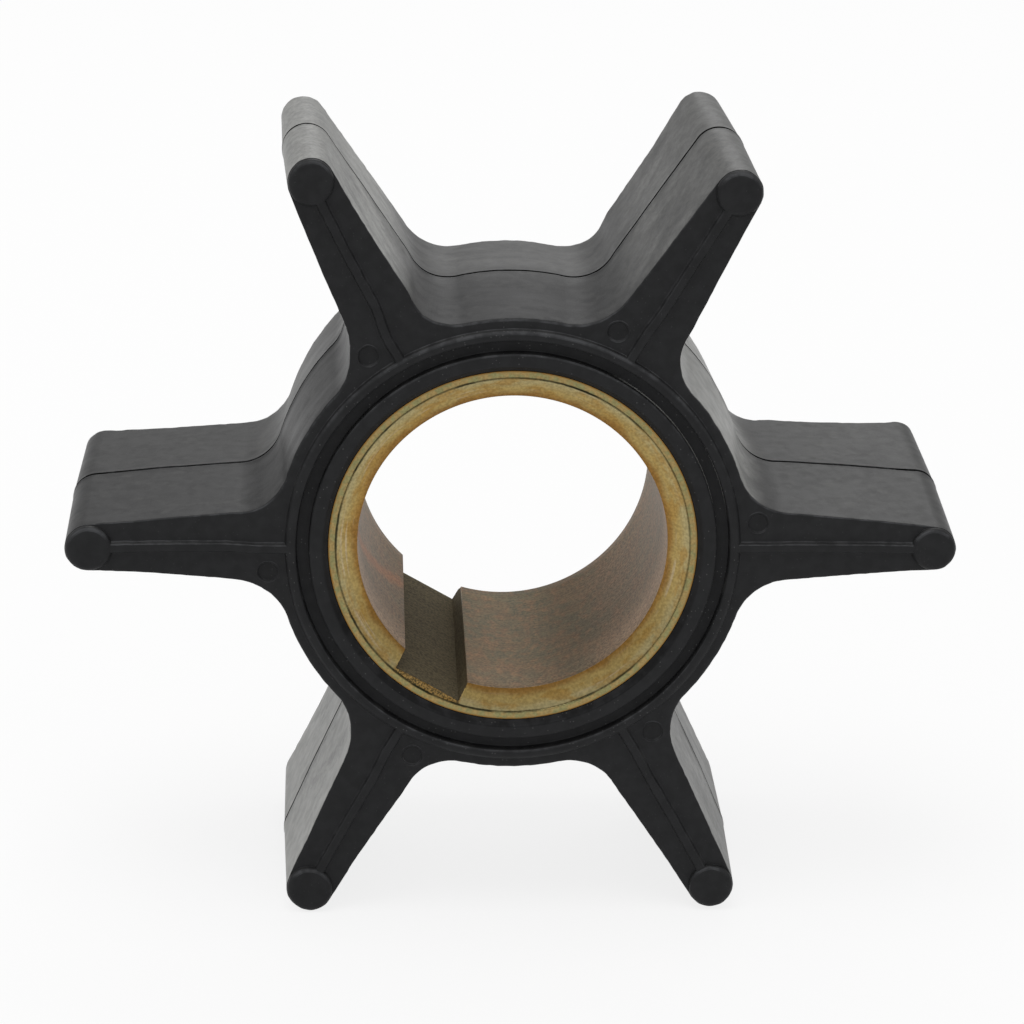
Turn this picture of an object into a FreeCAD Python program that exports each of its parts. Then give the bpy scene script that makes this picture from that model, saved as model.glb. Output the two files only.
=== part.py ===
import FreeCAD, Part
import math
import os

import Sketcher

# Flexible-vane pump impeller: six rubber vanes moulded in one piece around a keyed brass hub.
# The shaft axis lies along Y and the front face looks toward -Y. Z is up, and the impeller stands
# on the tips of its two lower vanes. The origin is on the shaft axis, midway through the width.

os.makedirs("parts", exist_ok=True)
doc = FreeCAD.newDocument("pump_impeller")

# Driving sizes in millimetres and degrees.
SIZES = {
    "bore_diameter": 23.0,
    "brass_wall": 2.2,
    "brass_length": 22.0,
    "front_land": 0.6,
    "front_chamfer_depth": 0.85,
    "rear_chamfer": 0.4,
    "keyway_width": 5.4,
    "keyway_depth": 1.1,
    "keyway_angle": 240.0,
    "tip_diameter": 66.0,
    "vane_width": 22.0,
    "vane_count": 6,
    "vane_tip_radius": 1.7,
    "flank_angle": 4.9,
    "root_fillet": 4.1,
    "draft_angle": 1.4,
    "lip_width": 0.4,
    "land_width": 0.95,
    "channel_width": 1.05,
    "channel_depth": 0.8,
    "bead_width": 0.65,
    "rim_width": 0.75,
    "seal_rise": 0.5,
    "land_bevel": 0.1,
    "bead_bevel": 0.25,
    "tip_ledge": 0.08,
    "tip_disc_bevel": 0.2,
    "rib_width": 0.8,
    "rib_rise": 0.4,
    "rib_draft": 15.0,
    "pin_mark_diameter": 1.4,
    "pin_mark_depth": 0.15,
    "pin_mark_side_step": 1.65,
    "pin_mark_reach": 0.7,
}

sheet = doc.addObject("Spreadsheet::Sheet", "sizes")
for row, (alias, value) in enumerate(SIZES.items(), start=1):
    sheet.set(f"A{row}", alias)
    sheet.set(f"B{row}", str(value))
    sheet.setAlias(f"B{row}", alias)
doc.recompute()

# Radii and levels that several features share, worked out from the driving sizes.
BORE = "sizes.bore_diameter / 2"
BRASS = f"({BORE} + sizes.brass_wall)"
LIP = f"({BRASS} + sizes.lip_width)"
LAND = f"({LIP} + sizes.land_width)"
CHANNEL = f"({LAND} + sizes.channel_width)"
BEAD = f"({CHANNEL} + sizes.bead_width)"
HUB = f"({BEAD} + sizes.rim_width)"
FACE = "sizes.vane_width / 2"
CREST = f"({FACE} + sizes.seal_rise)"
TIP_CENTRE = "(sizes.tip_diameter / 2 - sizes.vane_tip_radius)"

FULL_TURN = 360
CUT_LENGTHS = 2     # a cut through a body is this many times as long, to come out at both ends
MATCH = 1e-4        # millimetres that an edge may lie from where it is looked for


def number(expression):
    """The present value of an expression on the sheet."""
    result = sheet.evalExpression(expression)
    return float(getattr(result, "Value", result))


def origin_feature(body, role):
    return next(f for f in body.Origin.OriginFeatures if f.Role == role)


def new_sketch(body, name, role, lift=None):
    """A sketch on one of the body's origin planes, lifted along the plane's normal."""
    sketch = body.newObject("Sketcher::SketchObject", name)
    sketch.AttachmentSupport = [(origin_feature(body, role), "")]
    sketch.MapMode = "FlatFace"
    if lift:
        sketch.setExpression("AttachmentOffset.Base.z", lift)
    return sketch


def bind(sketch, expression, *constraint):
    """Adds a dimension whose value follows an expression."""
    index = sketch.addConstraint(Sketcher.Constraint(*constraint, number(expression)))
    sketch.setExpression(f"Constraints[{index}]", expression)


def closed_profile(sketch, corners):
    """A closed polygon whose corners are pairs of expressions."""
    points = [FreeCAD.Vector(number(x), number(y), 0) for x, y in corners]
    count = len(points)
    for i in range(count):
        sketch.addGeometry(Part.LineSegment(points[i], points[(i + 1) % count]), False)
    for i in range(count):
        sketch.addConstraint(Sketcher.Constraint("Coincident", i, 2, (i + 1) % count, 1))
    for i, (x, y) in enumerate(corners):
        bind(sketch, x, "DistanceX", -1, 1, i, 1)
        bind(sketch, y, "DistanceY", -1, 1, i, 1)


def circle(sketch, radius, x=None):
    """A circle about the origin, or about a point on the sketch's horizontal axis."""
    centre = FreeCAD.Vector(number(x) if x else 0, 0, 0)
    normal = FreeCAD.Vector(0, 0, 1)
    index = sketch.addGeometry(Part.Circle(centre, normal, number(radius)), False)
    bind(sketch, radius, "Radius", index)
    if x:
        sketch.addConstraint(Sketcher.Constraint("PointOnObject", index, 3, -1))
        bind(sketch, x, "DistanceX", -1, 1, index, 3)
    else:
        sketch.addConstraint(Sketcher.Constraint("Coincident", index, 3, -1, 1))


def feature(body, kind, name, sketch):
    result = body.newObject(f"PartDesign::{kind}", name)
    result.Profile = sketch
    sketch.Visibility = False
    return result


def prism(body, kind, name, sketch, length):
    """A pad or pocket as long as an expression says, along the sketch's normal."""
    result = feature(body, kind, name, sketch)
    result.setExpression("Length", length)
    return result


def drafted(body, name, sketch):
    """A pad from the front face back to the parting plane, widening by the mould's draft."""
    result = prism(body, "Pad", name, sketch, FACE)
    result.Reversed = True
    result.setExpression("TaperAngle", "sizes.draft_angle")
    return result


def turned(body, kind, name, sketch):
    """A revolution or groove about the sketch's vertical axis."""
    result = feature(body, kind, name, sketch)
    result.ReferenceAxis = (sketch, ["V_Axis"])
    result.Angle = FULL_TURN
    return result


def around_shaft(body, name, originals):
    """Repeats features once for each vane."""
    pattern = body.newObject("PartDesign::PolarPattern", name)
    pattern.Originals = originals
    pattern.Axis = (origin_feature(body, "Y_Axis"), [""])
    pattern.Angle = FULL_TURN
    pattern.setExpression("Occurrences", "sizes.vane_count")
    body.Tip = pattern
    return pattern


def dressed(body, kind, name, size, edges):
    """A fillet or chamfer on the tip's edges that pass a test."""
    doc.recompute()
    base = body.Tip
    names = [f"Edge{i}" for i, e in enumerate(base.Shape.Edges, start=1) if edges(e)]
    result = body.newObject(f"PartDesign::{kind}", name)
    result.Base = (base, names)
    result.setExpression("Radius" if kind == "Fillet" else "Size", size)
    return result


def radius_of(point):
    return math.hypot(point.x, point.z)


def ring_edge(radius, level):
    """A test for the circle about the shaft with this radius at this depth."""
    target, depth = number(radius), number(level)

    def test(edge):
        if not isinstance(edge.Curve, Part.Circle):
            return False
        centred = radius_of(edge.Curve.Center) < MATCH
        this_wide = abs(edge.Curve.Radius - target) < MATCH
        return centred and this_wide and abs(edge.Curve.Center.y + depth) < MATCH

    return test


def brass_hub():
    """The turned brass bush that the shaft and its key drive."""
    body = doc.addObject("PartDesign::Body", "brass_hub")
    half = "sizes.brass_length / 2"
    section = new_sketch(body, "hub_section", "XY_Plane")
    closed_profile(section, [
        (BORE, f"{half} - sizes.rear_chamfer"),
        (BORE, f"-({half} - sizes.front_chamfer_depth)"),
        (f"{BRASS} - sizes.front_land", f"-({half})"),
        (BRASS, f"-({half})"),
        (BRASS, half),
        (f"{BORE} + sizes.rear_chamfer", half),
    ])
    turned(body, "Revolution", "turned_bush", section)

    keyway = new_sketch(body, "keyway_section", "XZ_Plane")
    keyway.setExpression("AttachmentOffset.Rotation.Angle", "sizes.keyway_angle")
    in_bore = f"{BORE} / 2"
    floor = f"{BORE} + sizes.keyway_depth"
    side = "sizes.keyway_width / 2"
    closed_profile(keyway, [
        (in_bore, f"-({side})"),
        (floor, f"-({side})"),
        (floor, side),
        (in_bore, side),
    ])
    slot = feature(body, "Pocket", "keyway", keyway)
    slot.SideType = "Symmetric"
    slot.setExpression("Length", f"sizes.brass_length * {CUT_LENGTHS}")
    return body


def vane_outline(sketch):
    """Round tip, two flanks that open toward the hub, and a root closed inside the hub's rim."""
    tip = FreeCAD.Vector(number(TIP_CENTRE), 0, 0)
    radius = number("sizes.vane_tip_radius")
    angle = math.radians(number("sizes.flank_angle"))
    inner = number(f"({BRASS} + {HUB}) / 2")
    swing = math.pi / 2 - angle
    top = tip + FreeCAD.Vector(math.cos(swing), math.sin(swing), 0) * radius
    root = FreeCAD.Vector(inner, top.y + (top.x - inner) * math.tan(angle), 0)
    below = FreeCAD.Vector(root.x, -root.y, 0)
    under = FreeCAD.Vector(top.x, -top.y, 0)
    arc = Part.ArcOfCircle(Part.Circle(tip, FreeCAD.Vector(0, 0, 1), radius), -swing, swing)
    sketch.addGeometry(arc, False)
    sketch.addGeometry(Part.LineSegment(top, root), False)
    sketch.addGeometry(Part.LineSegment(root, below), False)
    sketch.addGeometry(Part.LineSegment(below, under), False)
    sketch.addConstraint([
        Sketcher.Constraint("PointOnObject", 0, 3, -1),
        Sketcher.Constraint("Tangent", 0, 2, 1, 1),
        Sketcher.Constraint("Tangent", 0, 1, 3, 2),
        Sketcher.Constraint("Coincident", 1, 2, 2, 1),
        Sketcher.Constraint("Coincident", 2, 2, 3, 1),
        Sketcher.Constraint("Symmetric", 2, 1, 2, 2, -1),
    ])
    bind(sketch, TIP_CENTRE, "DistanceX", -1, 1, 0, 3)
    bind(sketch, "sizes.vane_tip_radius", "Radius", 0)
    bind(sketch, f"({BRASS} + {HUB}) / 2", "DistanceX", -1, 1, 1, 2)
    bind(sketch, "sizes.flank_angle", "Angle", -1, 1, 3, 1)


def rubber_impeller():
    """The moulding, made as its front half and mirrored at the parting plane."""
    body = doc.addObject("PartDesign::Body", "rubber_impeller")

    hub = new_sketch(body, "hub_circle", "XZ_Plane", FACE)
    circle(hub, HUB)
    drafted(body, "hub", hub)

    outline = new_sketch(body, "vane_outline", "XZ_Plane", FACE)
    vane_outline(outline)
    vane = drafted(body, "vane", outline)
    around_shaft(body, "vanes", [vane])

    # Root edges run most of the way along the shaft, and lie nearer the hub than the tips.
    least_run = number(FACE) / 2
    mid_vane = number(f"({HUB} + {TIP_CENTRE}) / 2")

    def root_edge(edge):
        ends = [v.Point for v in edge.Vertexes]
        if len(ends) != 2 or abs(ends[0].y - ends[1].y) < least_run:
            return False
        return all(radius_of(p) < mid_vane for p in ends)

    dressed(body, "Fillet", "root_fillets", "sizes.root_fillet", root_edge)

    ring = new_sketch(body, "seal_ring_section", "XY_Plane")
    closed_profile(ring, [
        (BRASS, f"-({FACE} - sizes.seal_rise)"),
        (BRASS, f"-({FACE})"),
        (LIP, f"-{CREST}"),
        (BEAD, f"-{CREST}"),
        (BEAD, f"-({FACE} - sizes.seal_rise)"),
    ])
    turned(body, "Revolution", "seal_ring", ring)

    channel = new_sketch(body, "channel_section", "XY_Plane")
    closed_profile(channel, [
        (LAND, f"-({CREST} - sizes.channel_depth)"),
        (LAND, f"-({CREST} + sizes.seal_rise)"),
        (CHANNEL, f"-({CREST} + sizes.seal_rise)"),
        (CHANNEL, f"-({CREST} - sizes.channel_depth)"),
    ])
    turned(body, "Groove", "seal_channel", channel)

    seat = new_sketch(body, "brass_seat_circle", "XZ_Plane")
    circle(seat, BRASS)
    bore = feature(body, "Pocket", "brass_seat", seat)
    bore.SideType = "Symmetric"
    bore.setExpression("Length", f"sizes.vane_width * {CUT_LENGTHS}")

    dressed(body, "Chamfer", "bead_edge", "sizes.bead_bevel", ring_edge(BEAD, CREST))
    dressed(body, "Chamfer", "land_edge", "sizes.land_bevel", ring_edge(LAND, CREST))

    disc = new_sketch(body, "tip_disc_circle", "XZ_Plane", FACE)
    circle(disc, "sizes.vane_tip_radius - sizes.tip_ledge", TIP_CENTRE)
    tip_disc = prism(body, "Pad", "tip_disc", disc, "sizes.seal_rise")
    around_shaft(body, "tip_discs", [tip_disc])

    def disc_edge(edge):
        if not isinstance(edge.Curve, Part.Circle):
            return False
        at_tip = abs(radius_of(edge.Curve.Center) - number(TIP_CENTRE)) < MATCH
        return at_tip and abs(edge.Curve.Center.y + number(CREST)) < MATCH

    dressed(body, "Chamfer", "tip_disc_edges", "sizes.tip_disc_bevel", disc_edge)

    # Each rib runs from inside the bead to inside the tip disc.
    rib = new_sketch(body, "rib_outline", "XZ_Plane", FACE)
    side = "sizes.rib_width / 2"
    start = f"{BEAD} - sizes.bead_width / 2"
    end = f"{TIP_CENTRE} - sizes.vane_tip_radius / 2"
    closed_profile(rib, [
        (start, f"-({side})"),
        (end, f"-({side})"),
        (end, side),
        (start, side),
    ])
    vane_rib = prism(body, "Pad", "vane_rib", rib, "sizes.rib_rise")
    vane_rib.setExpression("TaperAngle", "-sizes.rib_draft")

    mark = new_sketch(body, "pin_mark_circle", "XZ_Plane", FACE)
    index = mark.addGeometry(Part.Circle(), False)
    bind(mark, "sizes.pin_mark_diameter / 2", "Radius", index)
    bind(mark, f"{HUB} + sizes.pin_mark_reach", "DistanceX", -1, 1, index, 3)
    bind(mark, "sizes.pin_mark_side_step", "DistanceY", -1, 1, index, 3)
    pin_mark = prism(body, "Pocket", "pin_mark", mark, "sizes.pin_mark_depth")
    around_shaft(body, "ribs_and_pin_marks", [vane_rib, pin_mark])

    front_half = body.Tip
    whole = body.newObject("PartDesign::Mirrored", "rear_half")
    whole.BaseFeature = front_half
    whole.TransformMode = "Whole shape"
    whole.MirrorPlane = (origin_feature(body, "XZ_Plane"), [""])
    body.Tip = whole
    return body


bodies = [brass_hub(), rubber_impeller()]
doc.recompute()

for item in doc.Objects:
    if {"Invalid", "Error"} & set(item.State):
        raise RuntimeError(f"{item.Name} did not compute")
for body in bodies:
    if body.Shape.isNull() or not body.Shape.isValid():
        raise RuntimeError(f"{body.Label} has no valid shape")
    body.Shape.exportStep(f"parts/{body.Label}.step")
    box = body.Shape.BoundBox
    print(body.Label, "solids", len(body.Shape.Solids), "volume", round(body.Shape.Volume, 1),
          "size", round(box.XLength, 2), round(box.YLength, 2), round(box.ZLength, 2))
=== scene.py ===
import math

import bmesh
import bpy
import numpy as np
from mathutils import Matrix, Vector, noise
from mathutils.geometry import delaunay_2d_cdt


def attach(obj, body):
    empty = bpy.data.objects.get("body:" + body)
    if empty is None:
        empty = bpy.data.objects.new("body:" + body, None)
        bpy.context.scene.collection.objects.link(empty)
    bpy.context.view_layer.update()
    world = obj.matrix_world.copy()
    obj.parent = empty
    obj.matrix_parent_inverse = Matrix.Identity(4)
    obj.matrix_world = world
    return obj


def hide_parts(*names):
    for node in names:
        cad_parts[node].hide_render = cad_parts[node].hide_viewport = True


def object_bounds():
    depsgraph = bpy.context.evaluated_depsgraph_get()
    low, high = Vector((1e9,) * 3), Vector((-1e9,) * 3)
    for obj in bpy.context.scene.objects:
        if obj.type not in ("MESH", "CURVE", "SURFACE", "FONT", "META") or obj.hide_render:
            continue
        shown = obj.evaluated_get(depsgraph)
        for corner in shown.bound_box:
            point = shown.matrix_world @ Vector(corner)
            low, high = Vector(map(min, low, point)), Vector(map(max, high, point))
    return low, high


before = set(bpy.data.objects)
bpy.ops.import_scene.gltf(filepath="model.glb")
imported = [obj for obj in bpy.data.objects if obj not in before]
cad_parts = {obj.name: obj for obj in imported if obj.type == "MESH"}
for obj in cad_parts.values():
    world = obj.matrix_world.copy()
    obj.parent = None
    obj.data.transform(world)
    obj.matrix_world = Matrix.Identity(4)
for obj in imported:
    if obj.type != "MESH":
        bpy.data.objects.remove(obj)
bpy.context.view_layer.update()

# Vaned rubber impeller on a keyed brass bush, in studio light. Every form is worked out in millimetres
# about the shaft, which lies along Y with the front face toward -Y, and is scaled to metres at the end.

metresPerMm = 0.001
weldDistance = 2e-6         # metres; points nearer than this become one
collapseDistance = 5e-7     # metres; shorter edges are closed up
bumpDepth = 2e-5            # metres
sharpAngle = math.radians(38)


def meshPiece(name, points, faces, nodes, material):
    mesh = bpy.data.meshes.new(name)
    mesh.from_pydata([Vector(p) * metresPerMm for p in points], [], faces)
    work = bmesh.new()
    work.from_mesh(mesh)
    bmesh.ops.remove_doubles(work, verts=work.verts, dist=weldDistance)
    bmesh.ops.dissolve_degenerate(work, edges=work.edges, dist=collapseDistance)
    bmesh.ops.recalc_face_normals(work, faces=work.faces)
    for face in work.faces:
        face.smooth = True
    for edge in work.edges:
        edge.smooth = len(edge.link_faces) == 2 and edge.calc_face_angle(math.pi) < sharpAngle
    openEdges = sum(1 for edge in work.edges if len(edge.link_faces) != 2)
    work.to_mesh(mesh)
    work.free()
    piece = bpy.data.objects.new(name, mesh)
    bpy.context.scene.collection.objects.link(piece)
    mesh.materials.append(material)
    weighted = piece.modifiers.new("flatFaces", "WEIGHTED_NORMAL")
    weighted.keep_sharp = True
    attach(piece, "root")
    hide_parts(*nodes)
    print(name, "faces", len(mesh.polygons), "open edges", openEdges)


def smoothStep(low, high, value):
    share = min(max((value - low) / (high - low), 0), 1)
    return share * share * (3 - 2 * share)


def fromTable(rows, value):
    return float(np.interp(value, [r[0] for r in rows], [r[1] for r in rows]))


def ringFaces(rows, count, closed):
    faces = []
    for row in range(rows - (0 if closed else 1)):
        nextRow = (row + 1) % rows
        for i in range(count):
            j = (i + 1) % count
            faces.append((row * count + i, row * count + j, nextRow * count + j, nextRow * count + i))
    return faces


def shaderNode(tree, kind, feeds=None, **settings):
    made = tree.nodes.new("ShaderNode" + kind)
    for key, value in settings.items():
        setattr(made, key, value)
    for key, value in (feeds or {}).items():
        if isinstance(value, bpy.types.NodeSocket):
            tree.links.new(value, made.inputs[key])
        else:
            made.inputs[key].default_value = value
    return made


def calc(tree, operation, *values):
    return shaderNode(tree, "Math", dict(enumerate(values)), operation=operation).outputs[0]


def times(tree, first, second):
    return calc(tree, "MULTIPLY", first, second)


def plus(tree, first, second):
    return calc(tree, "ADD", first, second)


def minus(tree, first, second):
    return calc(tree, "SUBTRACT", first, second)


def ramp(tree, value, low, high, start=0.0, end=1.0):
    feeds = {"Value": value, "From Min": low, "From Max": high, "To Min": start, "To Max": end}
    return shaderNode(tree, "MapRange", feeds, interpolation_type="SMOOTHSTEP").outputs[0]


def blendColours(tree, factor, first, second, how="MIX"):
    feeds = {0: factor, 6: first, 7: second}
    return shaderNode(tree, "Mix", feeds, data_type="RGBA", blend_type=how).outputs[2]


def blendValues(tree, factor, first, second):
    return shaderNode(tree, "Mix", {0: factor, 2: first, 3: second}).outputs[0]


def greyTone(tree, value):
    return shaderNode(tree, "CombineColor", {0: value, 1: value, 2: value}).outputs[0]


# The same colour made darker or brighter.
def toned(tree, colour, brightness):
    return blendColours(tree, 1.0, colour, greyTone(tree, brightness), "MULTIPLY")


def newGroup(name, takes, gives):
    group = bpy.data.node_groups.new(name, "ShaderNodeTree")
    for label, default in takes.items():
        socket = group.interface.new_socket(label, in_out="INPUT", socket_type="NodeSocketFloat")
        socket.default_value = default
    for label, kind in gives.items():
        group.interface.new_socket(label, in_out="OUTPUT", socket_type="NodeSocket" + kind)
    return group, group.nodes.new("NodeGroupInput").outputs, group.nodes.new("NodeGroupOutput").inputs


def placeGroup(tree, group, feeds=None):
    made = shaderNode(tree, "Group", node_tree=group)
    for key, value in (feeds or {}).items():
        if isinstance(value, bpy.types.NodeSocket):
            tree.links.new(value, made.inputs[key])
        else:
            made.inputs[key].default_value = value
    return made.outputs


def newMaterial(name):
    material = bpy.data.materials.new(name)
    material.use_nodes = True
    return material, material.node_tree, material.node_tree.nodes["Principled BSDF"]


def dressShader(tree, shader, colour, rough, height, bumpStrength):
    bump = shaderNode(tree, "Bump", {"Strength": bumpStrength, "Distance": bumpDepth, "Height": height})
    tree.links.new(colour, shader.inputs["Base Color"])
    tree.links.new(rough, shader.inputs["Roughness"])
    tree.links.new(bump.outputs[0], shader.inputs["Normal"])


# Where a point lies on the part, in millimetres: its place, distance from the shaft, depth along the
# shaft, how squarely its surface faces along the shaft, its direction from the shaft, and how far its
# surface faces upward.
def makeShaftSpace():
    gives = {"Place": "Vector", "Radius": "Float", "Depth": "Float", "Facing": "Float", "Direction": "Vector",
             "Upward": "Float"}
    group, _, out = newGroup("shaftSpace", {}, gives)
    spot = shaderNode(group, "TexCoord").outputs["Object"]
    perMetre = (1 / metresPerMm,) * 3
    place = shaderNode(group, "VectorMath", {0: spot, 1: perMetre}, operation="MULTIPLY").outputs[0]
    apart = shaderNode(group, "SeparateXYZ", {0: place}).outputs
    flat = shaderNode(group, "CombineXYZ", {0: apart[0], 2: apart[2]}).outputs[0]
    radius = shaderNode(group, "VectorMath", {0: flat}, operation="LENGTH").outputs["Value"]
    direction = shaderNode(group, "VectorMath", {0: flat}, operation="NORMALIZE").outputs[0]
    normal = shaderNode(group, "NewGeometry").outputs["True Normal"]
    faces = shaderNode(group, "SeparateXYZ", {0: normal}).outputs
    facing = calc(group, "ABSOLUTE", faces[1])
    for label, socket in zip(gives, (place, radius, apart[1], facing, direction, faces[2])):
        group.links.new(socket, out[label])
    return group


# Noise stretched by a different amount along each axis of the part.
def makeStreaks():
    takes = {"Along X": 1.0, "Along Y": 1.0, "Along Z": 1.0, "Detail": 3.0, "Distortion": 0.0}
    group, given, out = newGroup("streaks", takes, {"Value": "Float"})
    place = placeGroup(group, shaftSpace)["Place"]
    scale = shaderNode(group, "CombineXYZ", {i: given[i] for i in range(3)}).outputs[0]
    stretched = shaderNode(group, "VectorMath", {0: place, 1: scale}, operation="MULTIPLY").outputs[0]
    feeds = {"Vector": stretched, "Scale": 1.0, "Detail": given["Detail"], "Distortion": given["Distortion"]}
    group.links.new(shaderNode(group, "TexNoise", feeds).outputs[0], out["Value"])
    return group


# Noise drawn out along the walls, slanted between the shaft's direction and the way out from it.
def makeWallStreaks():
    takes = {"Outward": 0.3, "Along Shaft": 2.0, "Slant": 0.4}
    group, given, out = newGroup("wallStreaks", takes, {"Value": "Float"})
    space = placeGroup(group, shaftSpace)
    outward = plus(group, space["Radius"], times(group, space["Depth"], given["Slant"]))
    inward = minus(group, space["Depth"], times(group, space["Radius"], given["Slant"]))
    spot = shaderNode(group, "CombineXYZ", {0: times(group, outward, given["Outward"]),
                                            1: times(group, inward, given["Along Shaft"])}).outputs[0]
    around = shaderNode(group, "VectorMath", {0: space["Direction"], "Scale": 3.0}, operation="SCALE")
    spot = shaderNode(group, "VectorMath", {0: spot, 1: around.outputs[0]}, operation="ADD").outputs[0]
    feeds = {"Vector": spot, "Scale": 1.0, "Detail": 4.0, "Roughness": 0.5, "Distortion": 0.4}
    group.links.new(shaderNode(group, "TexNoise", feeds).outputs[0], out["Value"])
    return group


# Fine tool marks that run around the shaft, one per step of depth or radius.
def makeTurningMarks():
    takes = {"Per Millimetre": 5.0, "Unevenness": 1.5}
    group, given, out = newGroup("turningMarks", takes, {"Value": "Float"})
    space = placeGroup(group, shaftSpace)
    across = plus(group, space["Depth"], space["Radius"])
    around = shaderNode(group, "VectorMath", {0: space["Direction"], "Scale": given["Unevenness"]},
                        operation="SCALE").outputs[0]
    steps = times(group, across, given["Per Millimetre"])
    steps = shaderNode(group, "CombineXYZ", {1: steps}).outputs[0]
    spot = shaderNode(group, "VectorMath", {0: around, 1: steps}, operation="ADD").outputs[0]
    marks = shaderNode(group, "TexNoise", {"Vector": spot, "Scale": 1.0, "Detail": 4.0, "Roughness": 0.6})
    group.links.new(marks.outputs[0], out["Value"])
    return group


# Small separate specks, thinned out by a patchy mask.
def makeSpecks():
    takes = {"Per Millimetre": 2.0, "Size": 0.2, "Patchiness": 0.5}
    group, given, out = newGroup("specks", takes, {"Mask": "Float"})
    place = placeGroup(group, shaftSpace)["Place"]
    cells = shaderNode(group, "TexVoronoi", {"Vector": place, "Scale": given["Per Millimetre"]}).outputs
    spot = calc(group, "LESS_THAN", cells["Distance"], given["Size"])
    chance = shaderNode(group, "SeparateColor", {0: cells["Color"]}).outputs[0]
    patches = shaderNode(group, "TexNoise", {"Vector": place, "Scale": 0.25, "Detail": 2.0}).outputs[0]
    kept = calc(group, "GREATER_THAN", times(group, chance, patches), given["Patchiness"])
    group.links.new(times(group, spot, kept), out["Mask"])
    return group


shaftSpace = makeShaftSpace()
streaks = makeStreaks()
wallStreaks = makeWallStreaks()
turningMarks = makeTurningMarks()
specks = makeSpecks()
print("shader groups ready")


# Noise with the same number of steps per millimetre in every direction.
def evenNoise(tree, perMm, detail):
    feeds = {"Along X": perMm, "Along Y": perMm, "Along Z": perMm, "Detail": detail}
    return placeGroup(tree, streaks, feeds)[0]


# Cosine of the angle between a point's direction from the shaft and a heading.
def nearHeading(tree, space, degrees):
    heading = math.radians(degrees)
    toward = (math.cos(heading), 0, math.sin(heading))
    turned = shaderNode(tree, "VectorMath", {0: space["Direction"], 1: toward}, operation="DOT_PRODUCT")
    return turned.outputs["Value"]


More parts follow.
